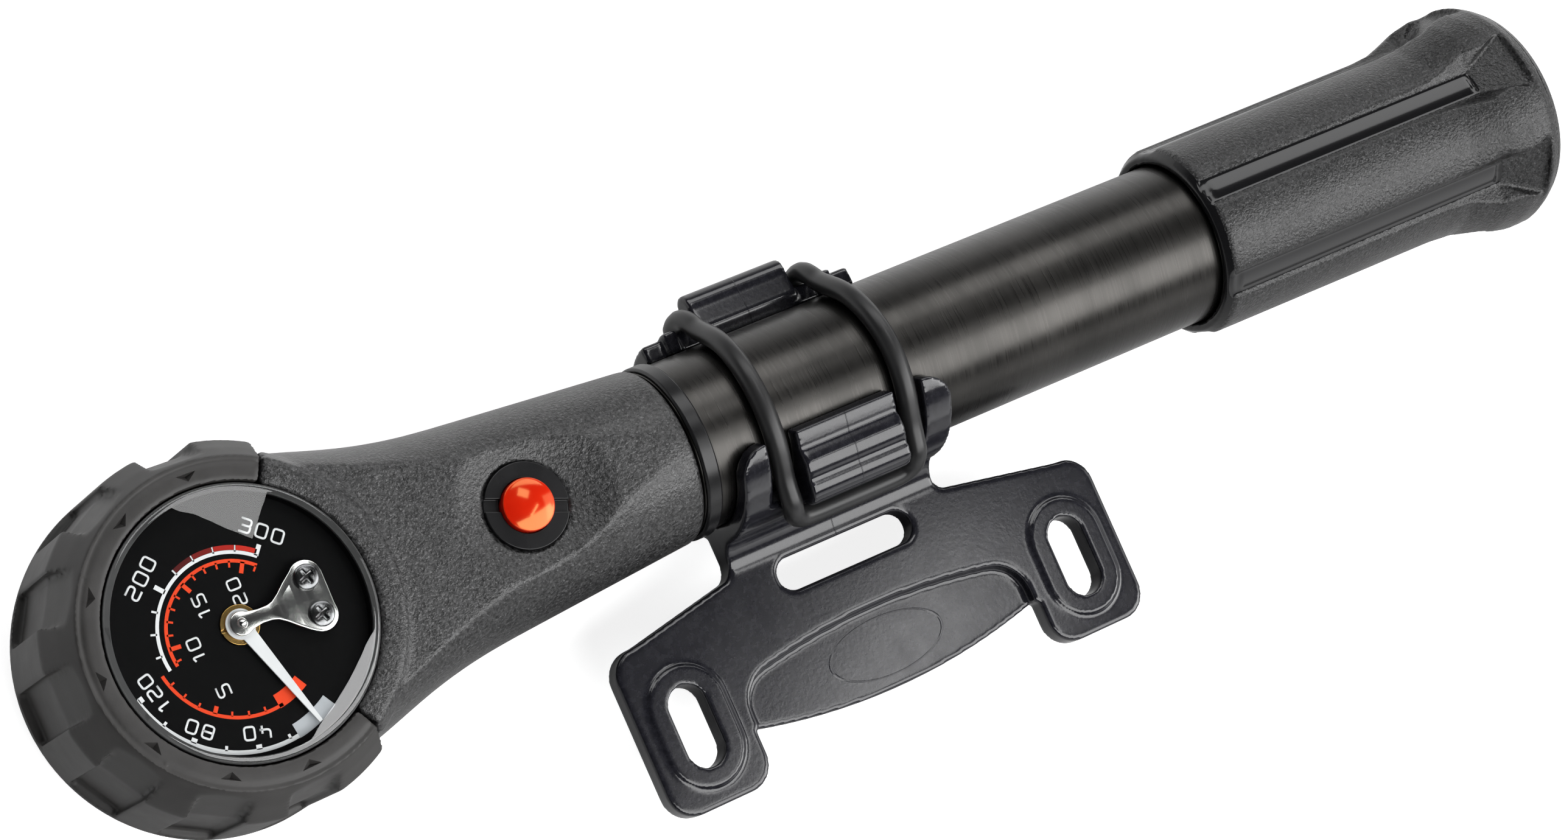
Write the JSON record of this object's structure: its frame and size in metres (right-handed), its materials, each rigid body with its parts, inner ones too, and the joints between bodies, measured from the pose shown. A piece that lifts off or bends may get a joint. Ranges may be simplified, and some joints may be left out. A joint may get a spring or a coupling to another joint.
{
  "type": "bicycle mini pump with gauge",
  "caption": "Hand-held bicycle air pump with a round dial gauge in its head, a bleed button, a telescoping ribbed handle, and a clip-on frame bracket held by a rubber band.",
  "frame": {"origin": "on the pump's axis, at the centre of the valve port's mouth in the front of the head", "axes": "+X along the pump from the head to the handle; +Z out of the face of the dial; the frame bracket lies on the -Y side"},
  "size_m": [0.2434, 0.0716, 0.035],
  "materials": {
    "head_plastic": "fine spark-eroded grain with a faint sparkle",
    "cover_rubber": "smooth matt",
    "black_rubber": "matt",
    "grip_plastic": "grained pads with glossy channels",
    "bracket_plastic": "glossy moulded",
    "gloss_black": "glossy",
    "signal_orange": "polished",
    "needle_white": "satin paint",
    "dial_face": "matt black print",
    "black_alloy": "black anodised, brushed round the axis",
    "gauge_metal": "black anodised, turned",
    "clear_alloy": "turned",
    "steel": "polished",
    "black_steel": "blackened",
    "brass": "turned",
    "lens_glass": "clear"
  },
  "bodies": {
    "pump_body": {"head_casing": "head_plastic", "manifold": "clear_alloy", "valve_port": "clear_alloy", "port_gasket": "black_rubber", "valve_pin": "brass", "gauge_cup": "gauge_metal", "gauge_stem": "brass", "bourdon_coil": "brass", "dial_plate": "dial_face", "dial_bush": "brass", "pivot_bridge": "steel", "bridge_screws": "black_steel", "lens_gasket": "black_rubber", "lens": "lens_glass", "button_ring": "gloss_black", "check_spring": "steel", "cylinder_seal": "black_rubber", "inner_cylinder": "clear_alloy", "barrel": "black_alloy", "collar_ring": "gloss_black", "barrel_bush": "grip_plastic", "rod_wiper": "black_rubber", "bracket": "bracket_plastic", "band": "black_rubber"},
    "valve_cover_body": {"valve_cover": "cover_rubber"},
    "needle_body": {"needle": "needle_white", "needle_arbor": "steel"},
    "bleed_body": {"bleed_button": "signal_orange", "bleed_spring": "steel", "bleed_seal": "black_rubber"},
    "check_body": {"check_ball": "steel"},
    "piston_body": {"piston": "grip_plastic", "piston_seal": "black_rubber"},
    "handle_body": {"piston_rod": "clear_alloy", "handle_grip": "grip_plastic", "bump_ring": "black_rubber", "rod_screw": "steel", "handle_cap": "grip_plastic"}
  },
  "joints": [
    {"name": "pump_stroke", "type": "slide", "parent": "pump_body", "child": "piston_body", "axis": [1, 0, 0], "range_m": [0, 0.108]},
    {"name": "handle_spin", "type": "hinge", "parent": "piston_body", "child": "handle_body", "pos_m": [0.2, 0, 0], "axis": [1, 0, 0], "continuous": true},
    {"name": "bleed_press", "type": "slide", "parent": "pump_body", "child": "bleed_body", "axis": [0, 0, -1], "range_m": [0, 0.0015], "stiffness_N_per_m": 500, "springref_m": -0.002, "deforming": ["bleed_spring"]},
    {"name": "needle_turn", "type": "hinge", "parent": "pump_body", "child": "needle_body", "pos_m": [0.021, 0, 0], "axis": [0, 0, 1], "range_deg": [-235, 0], "stiffness_Nm_per_rad": 0.000002},
    {"name": "cover_lift", "type": "slide", "parent": "pump_body", "child": "valve_cover_body", "axis": [0, 0, 1], "range_m": [0, 0.03]},
    {"name": "check_lift", "type": "slide", "parent": "pump_body", "child": "check_body", "axis": [-1, 0, 0], "range_m": [0, 0.0008], "stiffness_N_per_m": 20, "springref_m": -0.001}
  ]
}
